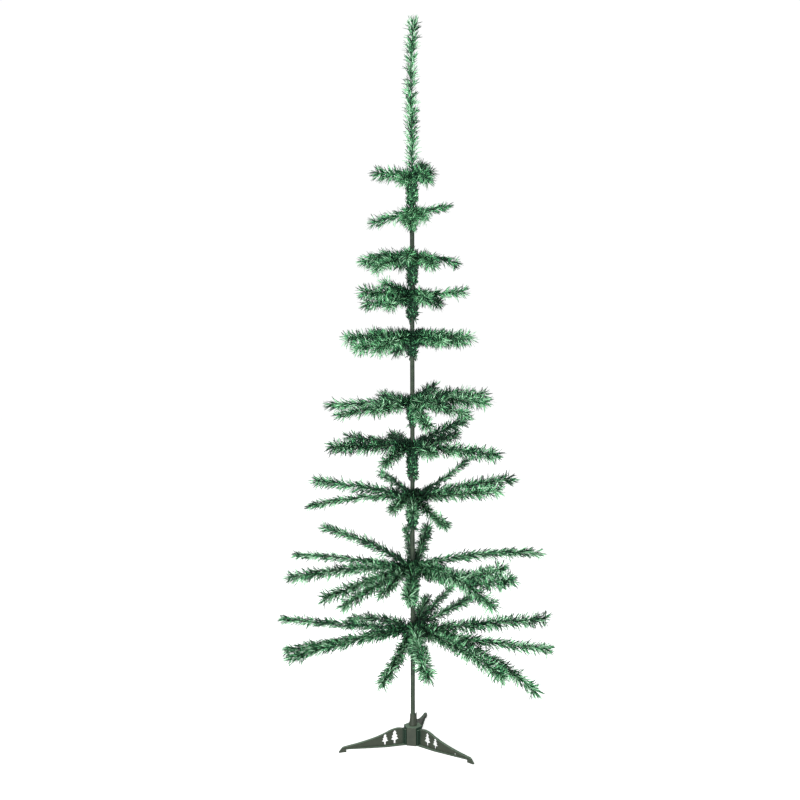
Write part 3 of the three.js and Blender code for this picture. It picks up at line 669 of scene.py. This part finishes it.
leader_foot = POLE_TOP + GAP
leader = CentreLine((0, 0, leader_foot), 270, TREE_HEIGHT - leader_foot, 90, 0, LEADER_NUMBER)
needled(
    leader, LEADER_BRUSH, LEADER_TONE, LEADER_DARK_FOOT, LEADER_DARK_REACH, LEADER_CONTRAST,
    LEADER_AT_TIP, LEADER_NEEDLES_PER_MM,
)
for whorl_number, (whorl, shades) in enumerate(zip(WHORLS, WHORL_SHADES), start=1):
    whorl_tone, dark_foot, contrast, wrap_tone = shades
    for line, brush in boughs_of(whorl, whorl_number):
        # Painted light on boughs towards the front, painted shade on boughs towards the back
        towards_front = -line.outward[1]
        tone = whorl_tone + (FRONT_PAINTED_LIGHT if towards_front > 0 else BACK_PAINTED_SHADE) * towards_front
        dark_reach = DARK_REACH + DARK_REACH_IN_FRONT * max(0, towards_front) ** IN_FRONT_POWER
        needled(line, brush, tone, dark_foot, dark_reach, contrast, BRUSH_AT_TIP, NEEDLES_PER_MM)
    wrap(whorl, whorl_number, wrap_tone)


# Materials


def material(name, color, roughness, gloss):
    made = bpy.data.materials.new(name)
    made.use_nodes = True
    shader = made.node_tree.nodes["Principled BSDF"]
    shader.inputs["Base Color"].default_value = (*color, 1)
    shader.inputs["Roughness"].default_value = roughness
    shader.inputs["Specular IOR Level"].default_value = gloss
    return made


def noise_texture(tree, place, scale, detail):
    noise = tree.nodes.new("ShaderNodeTexNoise")
    noise.inputs["Scale"].default_value = scale
    noise.inputs["Detail"].default_value = detail
    tree.links.new(place.outputs["Object"], noise.inputs["Vector"])
    return noise.outputs["Fac"]


def mottled(name, dark, light, scale, roughness, grain_depth, grain_scale):
    """A material whose colour and roughness drift between two values, with a fine surface grain."""
    made = material(name, dark, roughness[0], DULL_GLOSS)
    tree = made.node_tree
    shader = tree.nodes["Principled BSDF"]
    place = tree.nodes.new("ShaderNodeTexCoord")
    patches = noise_texture(tree, place, scale, PATCH_DETAIL)
    ramp = tree.nodes.new("ShaderNodeValToRGB")
    stops = zip(ramp.color_ramp.elements, (PATCH_FROM, PATCH_TO), (dark, light))
    for element, position, color in stops:
        element.position = position
        element.color = (*color, 1)
    tree.links.new(patches, ramp.inputs["Fac"])
    tree.links.new(ramp.outputs["Color"], shader.inputs["Base Color"])
    rough = tree.nodes.new("ShaderNodeMapRange")
    rough.inputs["To Min"].default_value = roughness[0]
    rough.inputs["To Max"].default_value = roughness[1]
    tree.links.new(patches, rough.inputs["Value"])
    tree.links.new(rough.outputs["Result"], shader.inputs["Roughness"])
    relief = tree.nodes.new("ShaderNodeBump")
    relief.inputs["Strength"].default_value = grain_depth
    relief.inputs["Distance"].default_value = GRAIN_DISTANCE
    tree.links.new(noise_texture(tree, place, grain_scale, GRAIN_DETAIL), relief.inputs["Height"])
    tree.links.new(relief.outputs["Normal"], shader.inputs["Normal"])
    return made


def lay_over(look, factor, color):
    """Lays a colour over a material as far as a node's output says."""
    tree = look.node_tree
    base = tree.nodes["Principled BSDF"].inputs["Base Color"]
    mix = tree.nodes.new("ShaderNodeMix")
    mix.data_type = "RGBA"
    mix.inputs["B"].default_value = (*color, 1)
    tree.links.new(base.links[0].from_socket, mix.inputs["A"])
    tree.links.new(factor, mix.inputs["Factor"])
    tree.links.new(mix.outputs["Result"], base)


def ranged(tree, value, from_min, from_max):
    """A node's output that goes from 0 to 1 while value goes from one limit to the other."""
    node = tree.nodes.new("ShaderNodeMapRange")
    node.inputs["From Min"].default_value = from_min
    node.inputs["From Max"].default_value = from_max
    tree.links.new(value, node.inputs["Value"])
    return node.outputs["Result"]


def computed(tree, operation, first, second=None):
    """A node's output for a sum, product or angle of outputs and numbers."""
    node = tree.nodes.new("ShaderNodeMath")
    node.operation = operation
    for socket, value in zip(node.inputs, (first, second)):
        if isinstance(value, (int, float)):
            socket.default_value = value
        elif value is not None:
            tree.links.new(value, socket)
    return node.outputs["Value"]


def parts_of(tree, vector):
    split = tree.nodes.new("ShaderNodeSeparateXYZ")
    tree.links.new(vector, split.inputs["Vector"])
    return split.outputs


def paint_shade_in_slots(look, color):
    """Lays painted shade into the slots where the legs meet the hub: near the hub, within 30 degrees of a
    leg.
    """
    tree = look.node_tree
    x, y, _ = parts_of(tree, tree.nodes.new("ShaderNodeTexCoord").outputs["Object"])
    thrice = computed(tree, "MULTIPLY", computed(tree, "ARCTAN2", y, x), 3)
    from_leg = computed(tree, "SUBTRACT", thrice, math.radians(3 * SLOT_BEARING))
    near_leg = ranged(tree, computed(tree, "COSINE", from_leg), 0.0, SLOT_SIDE_BLUR)
    x_squared = computed(tree, "MULTIPLY", x, x)
    y_squared = computed(tree, "MULTIPLY", y, y)
    radius = computed(tree, "SQRT", computed(tree, "ADD", x_squared, y_squared))
    inside = ranged(tree, radius, SLOT_OUTER * MM, SLOT_FULL * MM)
    outside = ranged(tree, radius, SLOT_INNER * MM, (SLOT_INNER + SLOT_INNER_BLUR) * MM)
    lay_over(look, computed(tree, "MULTIPLY", near_leg, computed(tree, "MULTIPLY", inside, outside)), color)


# Painted light: faces that look up are lighter, as far as they look up
def paint_light_on_upward_faces(look, color):
    tree = look.node_tree
    _, _, up = parts_of(tree, tree.nodes.new("ShaderNodeNewGeometry").outputs["Normal"])
    lay_over(look, ranged(tree, up, UPWARD_LIGHT_FROM, UPWARD_LIGHT_FULL), color)


needle_materials = {
    shade: material(f"needle_{shade}", NEEDLE_COLORS[shade], NEEDLE_ROUGHNESS, NEEDLE_GLOSS[shade])
    for shade in SHADES
}
wire_material = material("wire", WIRE_COLOR, WIRE_ROUGHNESS, WIRE_GLOSS)
pole_material = mottled("pole_paint", *POLE_PAINT)
stand_material = mottled("stand_plastic", *STAND_PLASTIC)
paint_shade_in_slots(stand_material, SLOT_SHADE_COLOR)
paint_light_on_upward_faces(stand_material, UPWARD_LIGHT_COLOR)


# Pieces that stand for the nodes of the frame


def placed(name, data):
    """A new object in the scene."""
    made = bpy.data.objects.new(name, data)
    bpy.context.scene.collection.objects.link(made)
    return made


def piece(mesh, look, replaced, smooth=False):
    """Puts a mesh into the scene as a piece of the tree, under the mesh's name."""
    mesh.materials.append(look)
    mesh.polygons.foreach_set("use_smooth", [smooth] * len(mesh.polygons))
    made = placed(mesh.name, mesh)
    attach(made, "root")
    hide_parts(*replaced)


tinsel_nodes = [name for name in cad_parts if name.startswith(("leader", "whorl_", "wrap_", "bough_"))]
for name, pile in piles.items():
    look = needle_materials["dark" if name == "roots" else name]
    piece(pile.mesh(f"needles_{name}"), look, tinsel_nodes)
piece(wires.mesh("bough_wires"), wire_material, tinsel_nodes, smooth=True)


def pole_mesh():
    """A tube of paint-dipped steel whose surface is never quite even."""
    low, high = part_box("pole")
    z = np.arange(low.z / MM, high.z / MM, POLE_STEP)
    z = np.append(z, high.z / MM)[:, None]
    angle = 2 * math.pi * np.arange(POLE_SIDES) / POLE_SIDES
    lumps = sum(depth * np.sin(z / wave + waves * angle) for depth, wave, waves in POLE_LUMPS)
    radius = POLE_RADIUS - POLE_INSET + lumps
    pile = Pile()
    height = np.broadcast_to(z, radius.shape)
    closed_tube(pile, np.stack([radius * np.cos(angle), radius * np.sin(angle), height], axis=2))
    return pile.mesh("pole_tube")


piece(pole_mesh(), pole_material, ["pole"], smooth=True)

# The stand: rounded plates, joined as the part's source joins its solids

LIE_FLAT = Matrix.Identity(4)
STAND_UP = Matrix.Rotation(math.pi / 2, 4, "X")


def rounded_plate(outlines, low, high, place, edge):
    """A plate with rounded edges, from low to high: the first outline is its rim, the others are holes."""
    curve = bpy.data.curves.new("outline", "CURVE")
    curve.dimensions = "2D"
    curve.fill_mode = "BOTH"
    curve.extrude = (high - low) / 2 - edge
    curve.bevel_depth = edge
    curve.bevel_resolution = 2
    curve.offset = -edge
    for outline in outlines:
        spline = curve.splines.new("POLY")
        spline.points.add(len(outline) - 1)
        for point, (x, y) in zip(spline.points, outline):
            point.co = (x, y, 0, 1)
        spline.use_cyclic_u = True
    holder = placed("outline", curve)
    bpy.context.view_layer.update()
    mesh = bpy.data.meshes.new_from_object(holder.evaluated_get(bpy.context.evaluated_depsgraph_get()))
    bpy.data.objects.remove(holder)
    bpy.data.curves.remove(curve)
    mesh.transform(place @ Matrix.Translation((0, 0, (low + high) / 2)))
    return mesh


def joined(meshes, name, angle=0.0):
    """One mesh in metres from several in millimetres, turned about the pole."""
    whole = bmesh.new()
    for mesh in meshes:
        whole.from_mesh(mesh)
        bpy.data.meshes.remove(mesh)
    bmesh.ops.remove_doubles(whole, verts=whole.verts, dist=WELD)
    bmesh.ops.recalc_face_normals(whole, faces=whole.faces)
    made = bpy.data.meshes.new(name)
    whole.to_mesh(made)
    whole.free()
    made.transform(Matrix.Scale(MM, 4) @ Matrix.Rotation(angle, 4, "Z"))
    return made


def circle(x, y, radius, sides=20):
    angles = [2 * math.pi * k / sides for k in range(sides)]
    return [(x + radius * math.cos(angle), y + radius * math.sin(angle)) for angle in angles]


def lathe(profile, sides=48):
    """A closed ring of plastic from (radius, height) points."""
    whole = bmesh.new()
    rings = []
    for radius, height in profile:
        rings.append([whole.verts.new((x, y, height)) for x, y in circle(0, 0, radius, sides)])
    for one, other in zip(rings, rings[1:] + rings[:1]):
        for k in range(sides):
            following = (k + 1) % sides
            whole.faces.new((one[k], one[following], other[following], other[k]))
    mesh = bpy.data.meshes.new("lathe")
    whole.to_mesh(mesh)
    whole.free()
    return mesh


def curved(start, bend, end, t):
    return (1 - t) ** 2 * start + 2 * t * (1 - t) * bend + t**2 * end


def top_edge(steps=12):
    """A leg's arched top, from the hub to the foot."""
    points = [(LEG_START, TOP_START)]
    for bend, end in TOP_CURVES:
        start = points[-1]
        for i in range(1, steps + 1):
            points.append(tuple(curved(a, b, c, i / steps) for a, b, c in zip(start, bend, end)))
    return points


def fir_holes():
    """The two cut-outs in the shape of a fir."""
    holes = []
    for centre, foot, width, height in FIRS:
        right = [(centre + x * width, foot + z * height) for x, z in FIR_HALF]
        left = [(centre - x * width, foot + z * height) for x, z in reversed(FIR_HALF)]
        holes.append(right + left)
    return holes


def upright_plate(outlines, thick, edge, place=STAND_UP):
    return rounded_plate(outlines, -thick / 2, thick / 2, place, edge)


def leg_flange():
    """The flat flange at a leg's lower edge: level near the hub, then rising to the foot."""
    level, overlap = UNDER_LEVEL_TO, RIM_OVERLAP
    share = (level - LEG_START) / (UNDER_END_FROM - LEG_START)
    hub_half, foot_half = RIM_AT_HUB / 2, RIM_AT_FOOT / 2
    bend_half = (RIM_AT_HUB + (RIM_AT_FOOT - RIM_AT_HUB) * share) / 2
    near = [(LEG_START, -hub_half), (level + overlap, -bend_half), (level + overlap, bend_half)]
    near.append((LEG_START, hub_half))
    slope = math.atan2(UNDER_END - UNDER_HEIGHT, UNDER_END_FROM - level)
    run = (UNDER_END_FROM - level) / math.cos(slope)
    far = [(-overlap, -bend_half), (run, -foot_half), (run, foot_half), (-overlap, bend_half)]
    tilt = Matrix.Translation((level, 0, UNDER_HEIGHT)) @ Matrix.Rotation(-slope, 4, "Y")
    return [
        rounded_plate([near], UNDER_HEIGHT, UNDER_HEIGHT + RIM_THICK, LIE_FLAT, SMALL_EDGE),
        rounded_plate([far], 0, RIM_THICK, tilt, SMALL_EDGE),
    ]


def stand_leg(place):
    top = top_edge()
    lower = [(UNDER_END_FROM, UNDER_END), (UNDER_LEVEL_TO, UNDER_HEIGHT), (LEG_START, UNDER_HEIGHT)]
    holes = fir_holes()
    if place == "right":
        holes.append(circle(*PEG_HOLE))
    bead = top + [(x, z - BEAD_THICK) for x, z in reversed(top)]
    pad_start = UNDER_END_FROM - PAD_OVERLAP
    pad = [(pad_start, 0), (LEG_REACH, 0), (LEG_REACH, TOE_HEIGHT), *TOE_TOP]
    pad.append((pad_start, UNDER_END + PAD_OVERLAP))
    plate_end = LEG_START + PLATE
    end_plate = [(LEG_START, UNDER_HEIGHT), (plate_end, UNDER_HEIGHT), (plate_end, TOP_START)]
    end_plate.append((LEG_START, TOP_START))
    meshes = [
        upright_plate([top + lower, *holes], WEB, WEB_EDGE),
        upright_plate([bead], BEAD, BEAD_EDGE),
        upright_plate([pad], PAD_WIDTH, SMALL_EDGE),
        upright_plate([end_plate], PLATE_WIDTH, SMALL_EDGE),
        *leg_flange(),
    ]
    mesh = joined(meshes, f"leg_{place}_moulding", math.radians(LEG_BEARINGS[place]))
    piece(mesh, stand_material, [f"stand_leg_{place}"])


def hexagon(flat, corner, steps=5):
    """A hexagon with rounded corners, whose flats face the legs."""
    points = []
    inner = flat / math.cos(math.pi / 6) - corner / math.cos(math.pi / 6)
    for k in range(6):
        middle = math.radians(LEG_BEARINGS["left"] + 30 + 60 * k)
        x, y = inner * math.cos(middle), inner * math.sin(middle)
        for i in range(steps + 1):
            angle = middle + math.radians(-30 + 60 * i / steps)
            points.append((x + corner * math.cos(angle), y + corner * math.sin(angle)))
    return points


def stand_hub():
    body = [hexagon(HUB_FLAT, HUB_CORNER), circle(0, 0, BORE, BORE_SIDES)]
    floor = circle(0, 0, BORE + FLOOR_MARGIN)
    rim = [(SOCKET_RIM, SOCKET_TOP), (BORE + MOUTH_WIDENING, SOCKET_TOP), (BORE, SOCKET_TOP - MOUTH_DEPTH)]
    tab = [(TAB_START, SOCKET_FOOT), (TAB_REACH, SOCKET_FOOT), (TAB_REACH, TAB_TOP), (TAB_START, SOCKET_TOP)]
    turned = Matrix.Rotation(math.radians(TAB_BEARING), 4, "Z") @ STAND_UP
    meshes = [
        rounded_plate(body, 0, HUB_HEIGHT, LIE_FLAT, HUB_EDGE),
        rounded_plate([floor], FLOOR_LIFT, HUB_FLOOR, LIE_FLAT, FLOOR_EDGE),
        lathe([*SOCKET_PROFILE, *rim, (BORE, SOCKET_FOOT)]),
        upright_plate([tab], TAB_THICK, SMALL_EDGE, turned),
    ]
    piece(joined(meshes, "hub_moulding"), stand_material, ["stand_hub"])


for place in LEG_BEARINGS:
    stand_leg(place)
stand_hub()

# The room: what is seen directly is white paper, and what falls on the tree is a room's dimmer light

world = bpy.data.worlds.new("surround")
bpy.context.scene.world = world
world.use_nodes = True
surround = world.node_tree.nodes["Background"]
surround.inputs["Color"].default_value = (1, 1, 1, 1)
seen_directly = world.node_tree.nodes.new("ShaderNodeLightPath")
dimmed = world.node_tree.nodes.new("ShaderNodeMapRange")
dimmed.inputs["To Min"].default_value = ROOM_LIGHT
dimmed.inputs["To Max"].default_value = SEEN_WHITE
world.node_tree.links.new(seen_directly.outputs["Is Camera Ray"], dimmed.inputs["Value"])
world.node_tree.links.new(dimmed.outputs["Result"], surround.inputs["Strength"])

floor_mesh = bpy.data.meshes.new("floor")
floor_corners = [(-1, -1), (1, -1), (1, 1), (-1, 1)]
floor_mesh.from_pydata([(x * FLOOR_HALF, y * FLOOR_HALF, 0) for x, y in floor_corners], [], [(0, 1, 2, 3)])
floor_material = material("floor_white", [FLOOR_WHITE] * 3, FLOOR_ROUGHNESS, FLOOR_GLOSS)
floor_shader = floor_material.node_tree.nodes["Principled BSDF"]
floor_shader.inputs["Emission Color"].default_value = (1, 1, 1, 1)
floor_shader.inputs["Emission Strength"].default_value = FLOOR_GLOW
floor_mesh.materials.append(floor_material)
floor = placed("floor", floor_mesh)

for name, location, target, size, watts in LIGHTS:
    light = bpy.data.lights.new(name, "AREA")
    light.shape = "DISK"
    light.size = size
    light.energy = watts
    lamp = placed(name, light)
    lamp.location = location
    lamp.rotation_euler = (Vector(target) - Vector(location)).to_track_quat("-Z", "Y").to_euler()

camera = bpy.data.cameras.new("camera")
camera.lens = CAMERA_LENS
camera.sensor_width = CAMERA_SENSOR
camera.shift_y = CAMERA_SHIFT
camera_object = placed("camera", camera)
camera_object.location = CAMERA_PLACE
camera_object.rotation_euler = (math.pi / 2, math.radians(CAMERA_ROLL), 0)
bpy.context.scene.camera = camera_object
bpy.context.scene.view_settings.view_transform = "Standard"
